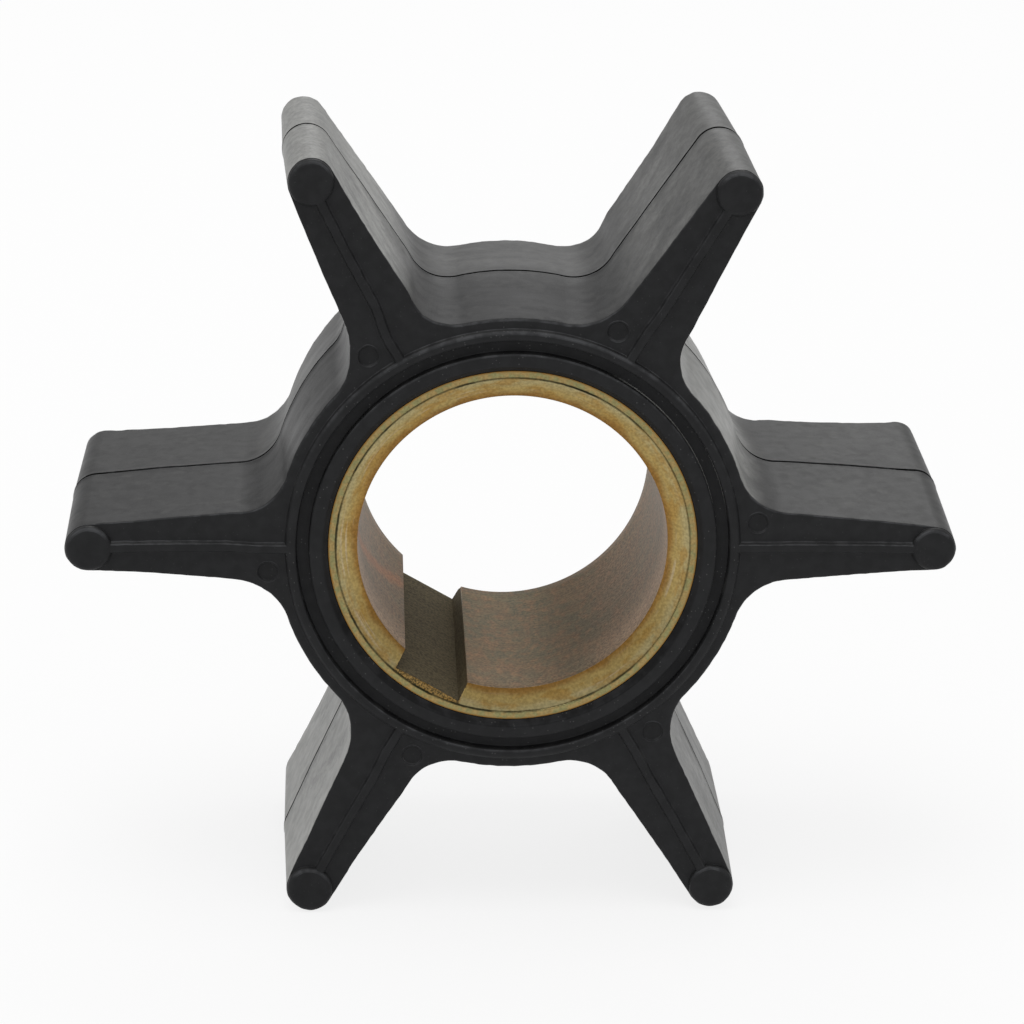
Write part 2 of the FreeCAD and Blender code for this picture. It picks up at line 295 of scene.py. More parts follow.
moulding = {
    "halfWidth": 11.0, "hubRadius": 17.6, "boreRadius": 13.7,
    "tipCentre": 31.3, "tipRound": 1.7, "flankAngle": 4.9, "rootFillet": 4.1, "draftAngle": 1.4,
    "faceEdgeRound": 0.15, "hubEdgeRound": 0.28, "tipEdgeRound": 0.02,
    "tipDraftShare": 0.5, "hubDraftShare": 2.1,
    # Shares of a flank over which the tip's edge and draft turn into the flank's own.
    "tipEdgeReach": 0.12, "tipDraftReach": 0.5,
    # The flash along the parting line: how far it wanders, and its waves per millimetre with their shares.
    "flashHeight": 0.04, "flashWander": 0.15, "flashWaves": ((0.22, 1.0), (0.9, 0.4)),
    # The edges' waver, its waves per millimetre, and the depths under a face and the radii where it fades.
    "edgeWaver": 0.035, "waverSeed": 7, "waverPerMm": 2.1,
    "waverDepths": (0.9, 0.25), "waverRadii": (17.0, 17.3),
    "ringStart": 16.3,
    "pinMark": (18.1, 1.88),
    # One row per vane, anticlockwise from the right as seen from the front. Each holds the front's and
    # the rear's set: turn at the hub and at the tip in degrees, extra reach and tip swelling in millimetres.
    "sets": [
        ((0.07, -0.19, -0.08, 0.0), (0.82, 1.81, -0.25, 0.0)),
        ((-0.49, -0.60, 0.04, 0.02), (1.35, 1.69, 0.0, 0.1)),
        ((-1.29, -1.98, 0.09, 0.03), (-0.22, -0.16, 0.09, 0.0)),
        ((-0.44, -0.10, -0.04, 0.08), (-0.14, -0.52, -0.02, 0.0)),
        ((0.62, 1.09, 0.10, 0.09), (0.30, -0.10, 0.04, 0.0)),
        ((-0.32, -0.64, 0.12, 0.04), (-0.20, -0.20, 0.06, 0.0)),
    ],
    "setsBetween": (18.25, 21.5), "bendStart": 21.0, "bendPower": 1.6, "swellReach": 4.5,
    # Steps of the mesh along each stretch of the outline, round each form and down the walls.
    "tipSteps": 20, "flankSteps": 26, "filletSteps": 22, "hubSteps": 12, "edgeSteps": 6,
    "ribSteps": 30, "discSteps": 72, "pinSteps": 40,
    "ribInset": (0.1, 1.2),     # how far its lines stop short of the ring's start and the tip's middle
    "wallDepths": (0.6, 1.5, 3, 4.6, 6.2, 7.8, 9.2, 10.0), "seatDepths": (-8, -4, 0, 4, 8),
    # The flash's rows: share of its height and distance from the parting plane.
    "flashRows": ((0.0, 0.5), (0.5, 0.36), (1.0, 0.22), (0.8, 0.175), (-1.8, 0.12), (-1.8, 0.0)),
    # The grid of points inside a vane's face, which widens toward the hub.
    "gridStart": (17.2, 0.75), "gridEnd": (31, 6), "gridStep": 0.45, "gridClearance": 0.3,
    "gridRadii": (17.0, 30.8), "gridHalfWidth": 2.55, "gridFlareStart": 20.2, "gridFlareRate": 0.12,
    # Height above the face against distance from each form's own centre or edge.
    "beadProfile": [(16.3, 0.5), (16.41, 0.492), (16.51, 0.468), (16.6, 0.425), (16.68, 0.36),
                    (16.75, 0.27), (16.8, 0.165), (16.835, 0.06), (16.88, 0.012), (16.95, 0.0)],
    "ribProfile": [(0.0, 0.33), (0.17, 0.33), (0.24, 0.315), (0.295, 0.275), (0.335, 0.2),
                   (0.38, 0.09), (0.415, 0.035), (0.46, 0.008), (0.53, 0.0)],
    "discProfile": [(0.0, 0.5), (0.7, 0.5), (1.16, 0.5), (1.27, 0.488), (1.38, 0.455), (1.48, 0.395),
                    (1.56, 0.315), (1.62, 0.215), (1.65, 0.12), (1.66, 0.02), (1.672, 0.0)],
    "pinProfile": [(0.0, -0.12), (0.4, -0.12), (0.62, -0.117), (0.69, -0.09), (0.73, -0.03),
                   (0.765, 0.03), (0.8, 0.05), (0.84, 0.042), (0.89, 0.015), (0.95, 0.0)],
    # Radius and height of the turned ring, from the bead's top inward to the bush.
    "ringProfile": [(16.3, 0.5), (16.2, 0.488), (16.12, 0.455), (16.06, 0.4), (16.02, 0.32), (16.0, 0.22),
                    (15.99, -0.2), (15.96, -0.27), (15.88, -0.3), (15.55, -0.3), (15.19, -0.3),
                    (15.11, -0.27), (15.08, -0.2), (15.07, 0.3), (15.045, 0.385), (14.99, 0.45),
                    (14.91, 0.488), (14.84, 0.5), (14.5, 0.5), (14.24, 0.5), (14.16, 0.49), (14.08, 0.45),
                    (14.0, 0.365), (13.85, 0.175), (13.73, 0.03), (13.7, 0.0)],
}
sectorHalf = math.radians(30)
stepsPerDegree = 2 / 3


# Half of one vane's outline from the tip's middle to the middle of the hub between two vanes:
# point, outward direction, edge rounding and share of the draft at each step.
def halfOutline():
    m = moulding
    slope = math.radians(m["flankAngle"])
    side = Vector((math.sin(slope), math.cos(slope)))
    along = Vector((math.cos(slope), -math.sin(slope)))
    tip = Vector((m["tipCentre"], 0))
    reach = tip.dot(side) + m["tipRound"]
    fillet, hub = m["rootFillet"], m["hubRadius"]
    centre = side * (reach + fillet) + along * math.sqrt((hub + fillet) ** 2 - (reach + fillet) ** 2)
    rows = []
    swing = math.pi / 2 - slope
    for i in range(m["tipSteps"]):
        angle = swing * i / m["tipSteps"]
        turn = Vector((math.cos(angle), math.sin(angle)))
        rows.append((tip + turn * m["tipRound"], turn, m["tipEdgeRound"], m["tipDraftShare"]))
    start, end = tip + side * m["tipRound"], centre - side * fillet
    for i in range(m["flankSteps"]):
        share = i / m["flankSteps"]
        ownEdge, ownDraft = smoothStep(0, m["tipEdgeReach"], share), smoothStep(0, m["tipDraftReach"], share)
        soft = m["tipEdgeRound"] + (m["faceEdgeRound"] - m["tipEdgeRound"]) * ownEdge
        draft = m["tipDraftShare"] + (1 - m["tipDraftShare"]) * ownDraft
        rows.append((start.lerp(end, share), side.copy(), soft, draft))
    first = math.atan2(-side.y, -side.x)
    last = math.atan2(-centre.y, -centre.x)
    steps = m["filletSteps"]
    for i in range(steps):
        angle = first + (last - first) * i / steps
        turn = Vector((math.cos(angle), math.sin(angle)))
        soft = m["faceEdgeRound"] + (m["hubEdgeRound"] - m["faceEdgeRound"]) * i / steps
        rows.append((centre + turn * fillet, -turn, soft, 1 + (m["hubDraftShare"] - 1) * i / steps))
    begin = math.atan2(centre.y, centre.x)
    for i in range(m["hubSteps"] + 1):
        angle = begin + (sectorHalf - begin) * i / m["hubSteps"]
        turn = Vector((math.cos(angle), math.sin(angle)))
        rows.append((turn * hub, turn, m["hubEdgeRound"], m["hubDraftShare"]))
    return rows


def flipped(point):
    return Vector((point.x, -point.y))


def sectorOutline():
    half = halfOutline()
    lower = [(flipped(p), flipped(n), soft, draft) for p, n, soft, draft in reversed(half[1:])]
    return lower + half


def faceHeight(x, y):
    m = moulding
    height = fromTable(m["beadProfile"], math.hypot(x, y))
    if x < m["tipCentre"]:
        height = max(height, fromTable(m["ribProfile"], abs(y)))
    height = max(height, fromTable(m["discProfile"], math.hypot(x - m["tipCentre"], y)))
    if height <= 0:
        height = fromTable(m["pinProfile"], math.hypot(x - m["pinMark"][0], y - m["pinMark"][1]))
    return height


def arcPoints(radius):
    count = round(math.degrees(sectorHalf) * 2 * stepsPerDegree)
    angles = [-sectorHalf + 2 * sectorHalf * i / count for i in range(count + 1)]
    return [(math.cos(a) * radius, math.sin(a) * radius) for a in angles]


def circlePoints(centre, radius, count):
    return [(centre[0] + math.cos(2 * math.pi * i / count) * radius,
             centre[1] + math.sin(2 * math.pi * i / count) * radius) for i in range(count)]


# Points spread over the face between its edges, which keep its triangles even.
def innerPoints(rim):
    m = moulding
    nearest, furthest = m["gridRadii"]
    spots = []
    for x in np.arange(m["gridStart"][0], m["gridEnd"][0], m["gridStep"]):
        halfWidth = m["gridHalfWidth"] + max(0, m["gridFlareStart"] - x) ** 2 * m["gridFlareRate"]
        for y in np.arange(m["gridStart"][1], m["gridEnd"][1], m["gridStep"]):
            if y >= halfWidth or not nearest < math.hypot(x, y) < furthest:
                continue
            for side in (1, -1):
                spot = Vector((x, y * side))
                if min((spot - p).length for p in rim) > m["gridClearance"]:
                    spots.append(spot)
    return spots


# Triangles of one sector's face, from the bead's top out to the outline's rounded edge.
def sectorFace(outline):
    m = moulding
    points, edges = [], []

    def path(route, closed=False):
        first = len(points)
        points.extend(Vector(p) for p in route)
        count = len(route)
        edges.extend((first + i, first + (i + 1) % count) for i in range(count if closed else count - 1))
        return list(range(first, first + count))

    rim = [p - n * soft for p, n, soft, _ in outline]
    radii = [r for r, _ in m["beadProfile"]]
    between = radii[1:] + [(radii[-1] + rim[0].length) / 2]
    lowSide = [(math.cos(sectorHalf) * r, -math.sin(sectorHalf) * r) for r in between]
    highSide = [(x, -y) for x, y in reversed(lowSide)]
    border = path([*arcPoints(radii[0])[::-1], *lowSide, *rim, *highSide], closed=True)
    for radius in radii[1:]:
        path(arcPoints(radius))
    ribStart, ribEnd = m["ringStart"] + m["ribInset"][0], m["tipCentre"] - m["ribInset"][1]
    for offset, _ in m["ribProfile"]:
        for side in ((1, -1) if offset else (1,)):
            path([(x, offset * side) for x in np.linspace(ribStart, ribEnd, m["ribSteps"])])
    for radius, _ in m["discProfile"][1:]:
        path(circlePoints((m["tipCentre"], 0), radius, m["discSteps"]))
    for radius, _ in m["pinProfile"][1:]:
        path(circlePoints(m["pinMark"], radius, m["pinSteps"]))
    points.append(Vector((m["tipCentre"], 0)))
    points.append(Vector(m["pinMark"]))
    points.extend(innerPoints(rim))
    insideOnly, mergeWithin = 1, 1e-5
    found = delaunay_2d_cdt(points, edges, [border], insideOnly, mergeWithin)
    corners = [(v.x, v.y, faceHeight(v.x, v.y)) for v in found[0]]
    return corners, [tuple(f) for f in found[2]]


# Rows of the side wall from a face down to the parting plane: kind, distance out and depth.
def wallLevels():
    m = moulding
    angles = np.linspace(0, math.pi / 2, m["edgeSteps"])
    levels = [("edge", -1 + math.sin(a), 1 - math.cos(a)) for a in angles]
    levels += [("wall", 0, depth) for depth in m["wallDepths"]]
    levels += [("flash", m["flashHeight"] * lift, m["halfWidth"] - before) for lift, before in m["flashRows"]]
    return levels


# Turns, bends, stretches and swells each vane by its own small set.
def setPoint(x, y, depth, vane):
    m = moulding
    share = (depth + m["halfWidth"]) / (2 * m["halfWidth"])
    base, tip, extra, swell = (front + (rear - front) * share for front, rear in zip(*m["sets"][vane]))
    fromTip = math.hypot(x - m["tipCentre"], y)
    grow = 1 + swell / m["tipRound"] * (1 - smoothStep(m["tipRound"], m["swellReach"], fromTip))
    x, y = m["tipCentre"] + (x - m["tipCentre"]) * grow, y * grow
    radius = math.hypot(x, y)
    out = max(0, (radius - m["bendStart"]) / (m["tipCentre"] - m["bendStart"]))
    turn = math.radians(base * smoothStep(*m["setsBetween"], radius) + (tip - base) * out ** m["bendPower"])
    stretch = 1 + extra * out / radius
    heading = math.atan2(y, x) + turn + vane * 2 * sectorHalf
    spot = Vector((math.cos(heading) * radius * stretch, depth, math.sin(heading) * radius * stretch))
    deepest, full = (m["halfWidth"] - under for under in m["waverDepths"])
    atEdge = smoothStep(deepest, full, abs(depth)) * smoothStep(*m["waverRadii"], radius)
    waver = noise.noise_vector(spot * m["waverPerMm"]) * m["edgeWaver"] * atEdge
    return spot + Vector((waver.x, 0, waver.z))


def wallPoint(outlineStep, level, end, vane):
    m = moulding
    point, normal, soft, draft = outlineStep
    kind, offset, depth = level
    if kind == "edge":
        spot, drop = point + normal * offset * soft, depth * soft
    else:
        slope = math.tan(math.radians(m["draftAngle"]))
        spot, drop = point + normal * (offset + depth * slope * draft), depth
    along = end * (m["halfWidth"] - drop)
    if kind == "flash":
        angle = math.atan2(spot.y, spot.x) + vane * 2 * sectorHalf
        around = Vector((math.cos(angle), math.sin(angle), 0)) * spot.length
        waves = sum(share * noise.noise(around * perMm) for perMm, share in m["flashWaves"])
        along += m["flashWander"] * waves
    return setPoint(spot.x, spot.y, along, vane)


# One vane with its share of the hub, from one face to the parting plane.
def addSector(points, faces, face, outline, end, vane):
    corners, triangles = face
    first = len(points)
    points += [setPoint(x, y, end * (moulding["halfWidth"] + height), vane) for x, y, height in corners]
    faces += [tuple(first + i for i in triangle) for triangle in triangles]
    start = len(points)
    levels = wallLevels()
    for level in levels:
        points += [wallPoint(outlineStep, level, end, vane) for outlineStep in outline]
    count = len(outline)
    for row in range(len(levels) - 1):
        for i in range(count - 1):
            a = start + row * count + i
            faces.append((a, a + 1, a + 1 + count, a + count))


# The turned ring on both faces, and the bush's seat between them.
def addRing(points, faces):
    m = moulding
    half = m["halfWidth"]
    columns = round(360 * stepsPerDegree)
    first = len(points)
    profile = [(r, -(half + h)) for r, h in m["ringProfile"]]
    profile += [(m["boreRadius"], y) for y in m["seatDepths"]]
    profile += [(r, half + h) for r, h in reversed(m["ringProfile"])]
    for radius, depth in profile:
        for i in range(columns):
            angle = 2 * math.pi * i / columns
            points.append((math.cos(angle) * radius, depth, math.sin(angle) * radius))
    faces += [tuple(first + i for i in face) for face in ringFaces(len(profile), columns, False)]


def buildMoulding():
    noise.seed_set(moulding["waverSeed"])      # unseeded, the edges would waver differently in each run
    points, faces = [], []
    outline = sectorOutline()
    face = sectorFace(outline)
    print("face triangles in a sector", len(face[1]))
    for end in (-1, 1):
        for vane in range(6):
            addSector(points, faces, face, outline, end, vane)
    addRing(points, faces)
    return points, faces


rubberLook = {
    "faceColour": (0.0150, 0.0153, 0.0162, 1), "wallColour": (0.013, 0.013, 0.0135, 1),
    "edgeDustAndHighlightColour": (0.048, 0.049, 0.052, 1), "chalkAndSheenColour": (0.30, 0.30, 0.288, 1),
    # Walls with chalk and a painted sheen, set heading by heading: heading in degrees from the right as seen
    # from the front, the radii in millimetres between which they come up, and how much of them there is; the
    # spread is in cosines.
    "chalkAndSheen": [(0, 18.5, 25, 0.055), (36, 22, 18.5, 1.4), (60, 18.5, 25, 0.30), (120, 18.5, 25, 0.84),
              (240, 17.0, 20, 1.35), (300, 17.0, 20, 0.52)],
    "chalkAndSheenSpread": (0.88, 0.97), "tipChalkAndSheen": 0.84, "rearChalkAndSheen": 0.14, "rearChalkAndSheenOnVanes": 0.14,
    "bloomColour": (0.034, 0.034, 0.033, 1), "speckColour": (0.10, 0.10, 0.10, 1),
    # The darkest colour paints shade: in the pin marks, on the slope down to the bush and in the parting
    # line's crease.
    "paintedShadeColour": (0.002, 0.002, 0.002, 1),
    "faceRoughness": 0.60, "wallRoughness": 0.42, "hubTopDulling": 0.09,
    "reflectance": 0.46, "refraction": 1.3, "bump": 0.5,
    # Where each effect fades in or out, in millimetres from the shaft (reach) or along it (depth).
    "rearDepth": (-1.0, 3.0), "hubReach": (18.0, 21.0), "tipReach": (27.5, 30.5), "wallDepth": (10.9, 10.99),
    "pinDepth": (10.9, 10.96), "pinReach": (17.0, 17.2), "pinShade": 0.22,
    "slopeShadeReach": (14.15, 14.3), "dustReach": (16.9, 17.2),
    "hubTopDepth": (-4.0, 1.0), "hubTopReach": (18.2, 20.0),
    "creaseDepth": (0.12, 0.2), "seamDepth": (0.35, 0.45), "seamReach": (17.0, 17.3),
    "flankStart": (19.0, 21.5), "flankEnd": (28.5, 30.5), "seamOnFlank": 0.55,
}


# Edges of discs, ribs and rings that face upward are painted paler: a little dust and a painted highlight.
def edgeDustAndHighlight(tree, space, mottle):
    onEdge = times(tree, ramp(tree, space["Facing"], 0.4, 0.7),
                   ramp(tree, space["Facing"], 0.9, 0.985, 1.0, 0.0))
    upward = times(tree, ramp(tree, space["Upward"], 0.15, 0.6), ramp(tree, mottle, 0.38, 0.6, 0.4, 1.0))
    return times(tree, onEdge, upward)


# The floors of the pin marks are painted darker than the faces around them: painted shade in the recesses.
def pinFloorShade(tree, space, offMiddle):
    sunken = ramp(tree, offMiddle, *rubberLook["pinDepth"], rubberLook["pinShade"], 0.0)
    sunken = times(tree, sunken, ramp(tree, space["Facing"], 0.5, 0.8))
    return times(tree, sunken, ramp(tree, space["Radius"], *rubberLook["pinReach"]))


# Chalk and a painted sheen lie on some walls more than on others, in slanted streaks.
def wallChalkAndSheen(tree, space, sideWall, longMarks):
    look = rubberLook
    sheenAndChalk = 0.0
    for degrees, start, full, amount in look["chalkAndSheen"]:
        near = ramp(tree, nearHeading(tree, space, degrees), *look["chalkAndSheenSpread"], 0.0, amount)
        sheenAndChalk = plus(tree, sheenAndChalk, times(tree, near, ramp(tree, space["Radius"], start, full)))
    behind = times(tree, ramp(tree, space["Depth"], *look["rearDepth"], 0.0, look["rearChalkAndSheen"]),
                   ramp(tree, space["Radius"], *look["hubReach"], 1.0, look["rearChalkAndSheenOnVanes"]))
    sheenAndChalk = plus(tree, sheenAndChalk, behind)
    broadMarks = placeGroup(tree, wallStreaks, {"Outward": 0.14, "Along Shaft": 0.3, "Slant": 0.6})[0]
    patches = times(tree, ramp(tree, broadMarks, 0.3, 0.68, 0.55, 1.2),
                    ramp(tree, longMarks, 0.3, 0.7, 0.9, 1.08))
    patches = blendValues(tree, ramp(tree, space["Radius"], *look["tipReach"]), patches, look["tipChalkAndSheen"])
    powder = evenNoise(tree, 3.6, 4.0)
    patches = times(tree, patches, ramp(tree, powder, 0.3, 0.7, 0.82, 1.15))
    return times(tree, times(tree, sheenAndChalk, sideWall), patches)


# The upward-facing slope from the ring down to the bush is painted darker: painted shade.
def bushSlopeShade(tree, space):
    return times(tree, ramp(tree, space["Radius"], *rubberLook["slopeShadeReach"], 0.6, 0.0),
                 ramp(tree, space["Upward"], 0.1, 0.4))


# Pale specks of dust, most on the ring and few beyond it.
def ringDust(tree, space):
    dust = placeGroup(tree, specks, {"Per Millimetre": 3.6, "Size": 0.17, "Patchiness": 0.36})[0]
    onRing = times(tree, ramp(tree, space["Radius"], *rubberLook["dustReach"], 1.0, 0.25), dust)
    return times(tree, onRing, 0.55)


# The parting line's crease is painted dark, a painted shade, broken up along its length and fainter on the
# flanks.
def partingLineShade(tree, space, offMiddle):
    look = rubberLook
    crease = calc(tree, "MAXIMUM", ramp(tree, offMiddle, *look["creaseDepth"], 1.0, 0.0),
                  ramp(tree, space["Facing"], 0.2, 0.4))
    crease = times(tree, crease, ramp(tree, offMiddle, *look["seamDepth"], 1.0, 0.0))
    breaks = placeGroup(tree, streaks, {"Along X": 0.5, "Along Y": 0.1, "Along Z": 0.5, "Detail": 6.0})[0]
    dots = placeGroup(tree, streaks, {"Along X": 2.2, "Along Y": 0.5, "Along Z": 2.2, "Detail": 3.0})[0]
    kept = calc(tree, "MAXIMUM", ramp(tree, breaks, 0.42, 0.52), ramp(tree, dots, 0.42, 0.56, 0.3, 0.85))
    onFlank = times(tree, ramp(tree, space["Radius"], *look["flankStart"]),
                    ramp(tree, space["Radius"], *look["flankEnd"], 1.0, 0.0))
    kept = times(tree, kept, ramp(tree, onFlank, 0.0, 1.0, 1.0, look["seamOnFlank"]))
    return times(tree, times(tree, crease, kept), ramp(tree, space["Radius"], *look["seamReach"]))


# Walls are smoother than faces, the hub's top is duller toward the front, and the marks and grain show.
def rubberRoughness(tree, space, wall, marks, grain):
    look = rubberLook
    rough = ramp(tree, wall, 0.0, 1.0, look["faceRoughness"], look["wallRoughness"])
    hubTop = times(tree, ramp(tree, space["Depth"], *look["hubTopDepth"], look["hubTopDulling"], 0.0),
                   ramp(tree, space["Upward"], 0.8, 0.97))
    hubTop = times(tree, hubTop, ramp(tree, space["Radius"], *look["hubTopReach"], 1.0, 0.0))
    rough = plus(tree, rough, times(tree, hubTop, wall))
    rough = plus(tree, rough, times(tree, minus(tree, grain, 0.5), 0.12))
    return plus(tree, rough, times(tree, minus(tree, marks, 0.5), times(tree, wall, 0.3)))


def makeRubber():
    look = rubberLook
    material, tree, shader = newMaterial("mouldedRubber")
    space = placeGroup(tree, shaftSpace)
    offMiddle = calc(tree, "ABSOLUTE", space["Depth"])
    wall = ramp(tree, space["Facing"], 0.3, 0.6, 1.0, 0.0)
    mottle, grain = evenNoise(tree, 1.1, 6.0), evenNoise(tree, 9.0, 6.0)
    longMarks = placeGroup(tree, wallStreaks, {"Outward": 0.3, "Along Shaft": 0.8, "Slant": 0.5})[0]
    crossMarks = placeGroup(tree, wallStreaks, {"Outward": 1.3, "Along Shaft": 0.5, "Slant": 0.3})[0]
    marks = plus(tree, times(tree, longMarks, 0.6), times(tree, crossMarks, 0.4))

    colour = blendColours(tree, wall, look["faceColour"], look["wallColour"])
    # Upward edges: dust and a painted highlight.
    colour = blendColours(tree, edgeDustAndHighlight(tree, space, mottle), colour, look["edgeDustAndHighlightColour"])
    # Pin mark floors: painted shade.
    colour = blendColours(tree, pinFloorShade(tree, space, offMiddle), colour, look["paintedShadeColour"])

    # A faint bloom follows the mould's cutter marks along the walls, under the chalk and painted sheen.
    bloom = times(tree, ramp(tree, mottle, 0.4, 0.7), ramp(tree, marks, 0.38, 0.66))
    colour = blendColours(tree, times(tree, times(tree, bloom, wall), 0.9), colour, look["bloomColour"])
    sideWall = times(tree, wall, ramp(tree, offMiddle, *look["wallDepth"], 1.0, 0.0))
    # Walls: chalk and a painted sheen.
    colour = blendColours(tree, wallChalkAndSheen(tree, space, sideWall, longMarks), colour, look["chalkAndSheenColour"])
    colour = toned(tree, colour, ramp(tree, mottle, 0.3, 0.7, 0.86, 1.16))

    # Painted shade on the slope down to the bush and in the parting line's crease.
    slopeShade, creaseShade = bushSlopeShade(tree, space), partingLineShade(tree, space, offMiddle)
    colour = blendColours(tree, slopeShade, colour, look["paintedShadeColour"])
    colour = blendColours(tree, ringDust(tree, space), colour, look["speckColour"])
    colour = blendColours(tree, creaseShade, colour, look["paintedShadeColour"])

    rough = rubberRoughness(tree, space, wall, marks, grain)
    rough = plus(tree, rough, times(tree, plus(tree, creaseShade, slopeShade), 0.5))
    height = plus(tree, times(tree, grain, 0.35), times(tree, marks, times(tree, wall, 0.5)))
    dressShader(tree, shader, colour, rough, height, look["bump"])
    shader.inputs["IOR"].default_value = look["refraction"]
    shader.inputs["Specular IOR Level"].default_value = look["reflectance"]
    return material


mouldingPoints, mouldingFaces = buildMoulding()
meshPiece("rubberMoulding", mouldingPoints, mouldingFaces, ["rubber_impeller"], makeRubber())


bush = {
    "boreRadius": 11.5, "outerRadius": 13.7, "halfLength": 11.0, "outerBevel": 0.06,
    "mouthRadius": 13.1, "mouthDepth": 0.85, "rearChamfer": 0.4,
    "keyHalfWidth": 2.7, "keyFloor": 12.6, "keyAngle": 240.0, "keyRunout": 13.03,
    "edgeSoftness": 0.05, "edgeFall": 0.01, "rearEdgeShare": 0.4,
    "scribeDepth": 0.05, "scribeHalfWidth": 0.05,
    # Rows of the mesh: depths down the outside and the bore, and radii across the ends and the chamfer.
    "outerDepths": (-7, -3.5, 0, 3.5, 7), "boreDepths": (9.5, -9.5), "boreSteps": 16,
    "rearRadii": (13.2, 12.95), "frontRadii": (13.3, 13.5),
    "chamferRadii": (11.56, 11.7, 11.9, 12.1, 12.3, 12.45, 12.55, 12.6, 12.65, 12.7, 12.75, 12.8, 12.84,
                     12.88, 12.92, 12.97, 13.0),
    # Columns of the mesh, in degrees from the middle of the keyway: over its floor, about its corner, up
    # its wall to its mouth, past the mouth, and round the rest of the bore.
    "floorAngles": (0, 1.5, 3, 4.5, 6, 7.5, 9, 10, 10.8, 11.4, 11.8),
    "aboutCorner": (-0.1, -0.04, 0, 0.04, 0.1),
    "wallAngles": (12.4, 12.6, 12.8, 13.0, 13.2, 13.35, 13.45, 13.52),
    "pastMouthAngles": (13.64, 13.7, 13.8, 14.0, 14.5), "boreAngles": (15, 345),
}


def keywayReach(angle):
    sine, cosine = abs(math.sin(angle)), math.cos(angle)
    if cosine <= 0:
        return 0
    leastSine = 1e-9        # keeps the middle of the floor from dividing by nothing
    return min(bush["keyFloor"] / cosine, bush["keyHalfWidth"] / max(sine, leastSine))


def softMax(first, second, softness):
    gap = max(softness - abs(first - second), 0) / softness
    return max(first, second) + gap * gap * softness / 4


# Degrees from the keyway's middle at which the bush has a column of points.
def bushAngles():
    b = bush
    corner = math.degrees(math.atan2(b["keyHalfWidth"], b["keyFloor"]))
    mouth = math.degrees(math.asin(b["keyHalfWidth"] / b["boreRadius"]))
    near = [*b["floorAngles"], *(corner + a for a in b["aboutCorner"]), *b["wallAngles"], mouth,
            *b["pastMouthAngles"]]
    return near + list(range(*b["boreAngles"])) + [360 - a for a in reversed(near[1:])]


# Radius and depth round the bush's section: outside, rear end, bore, chamfer, scribed line, front end.
def bushProfile():
    b = bush
    soft, fall, half, bevel = b["edgeSoftness"], b["edgeFall"], b["halfLength"], b["outerBevel"]
    bore, outer, rear = b["boreRadius"], b["outerRadius"], b["rearChamfer"]
    mouthRadius, mouthDepth, width = b["mouthRadius"], b["mouthDepth"], b["scribeHalfWidth"]
    profile = [(outer, y) for y in (-half + bevel, *b["outerDepths"], half - bevel)]
    profile += [(r, half) for r in (outer - bevel, *b["rearRadii"], bore + rear + soft)]
    profile += [(bore + rear, half - fall), (bore + soft, half - rear + soft * b["rearEdgeShare"]),
                (bore, half - rear - soft)]
    profile += [(bore, y) for y in np.linspace(*b["boreDepths"], b["boreSteps"])]
    profile += [(bore, -half + mouthDepth + soft), (bore + fall, -half + mouthDepth)]
    for radius in (*b["chamferRadii"], mouthRadius - width):
        share = (radius - bore) / (mouthRadius - bore)
        profile.append((radius, -half + mouthDepth * (1 - share)))
    profile.append((mouthRadius, -half + b["scribeDepth"]))
    return profile + [(r, -half) for r in (mouthRadius + width, *b["frontRadii"], outer - bevel)]


def buildBush():
    b = bush
    angles, profile = bushAngles(), bushProfile()
    heading = math.radians(b["keyAngle"])
    points = []
    for radius, depth in profile:
        for angle in angles:
            turn = math.radians(angle)
            at = radius
            if radius < b["keyRunout"]:
                at = softMax(radius, keywayReach(turn), b["edgeSoftness"])
            points.append((math.cos(turn + heading) * at, depth, math.sin(turn + heading) * at))
    return points, ringFaces(len(profile), len(angles), True)


brassLook = {
    "chamferColour": (0.38, 0.275, 0.10, 1), "paleColour": (0.39, 0.335, 0.175, 1),
    "ochreColour": (0.34, 0.20, 0.05, 1), "brownColour": (0.24, 0.12, 0.028, 1),
    "flatColour": (0.34, 0.245, 0.10, 1), "verdigrisColour": (0.26, 0.24, 0.108, 1),
    "boreColour": (0.124, 0.079, 0.029, 1), "copperColour": (0.21, 0.096, 0.033, 1),
    "greenColour": (0.080, 0.073, 0.030, 1), "reflectionGreyColour": (0.415, 0.28, 0.178, 1),
    "keywayColour": (0.126, 0.101, 0.054, 1), "stainColour": (0.38, 0.16, 0.06, 1),
    "darkColour": (0.025, 0.027, 0.014, 1), "burrColour": (0.42, 0.25, 0.075, 1),
    "sootColour": (0.075, 0.05, 0.02, 1),
    "wornAndSheenColour": (0.50, 0.42, 0.30, 1),
    # The stain on the bore's left, in millimetres: height where it meets the middle, rise for each
    # millimetre toward the front, and how far from its line it is full and gone.
    "stainHeight": -5.1, "stainSlope": 0.88, "stainCore": 0.2, "stainHalfWidth": 1.6,
    # Where each effect fades in or out, in millimetres from the shaft (reach) or along it (depth), or in
    # cosines about a heading (spread).
    "reflectionDepth": (-8.0, -2.0), "keywayReach": (11.56, 11.75),
    "keyEdgeStart": (11.503, 11.515), "keyEdgeEnd": (11.55, 11.58),
    "paleReach": (12.2, 13.05), "brownReach": (11.55, 12.15), "brownSpecksReach": (11.84, 11.98),
    "burrSpread": (0.974, 0.978), "burrDepth": (-9.0, -8.0),
    "flatReach": (13.06, 13.14), "rimReach": (13.68, 13.8), "lineRadius": 13.1, "lineHalfWidth": (0.04, 0.13),
    "boreRoughness": 0.54, "keywayRoughness": 0.82, "mouthRoughness": 0.36,
    "boreMetal": 0.65, "mouthMetal": 0.95, "bump": 0.45,
}


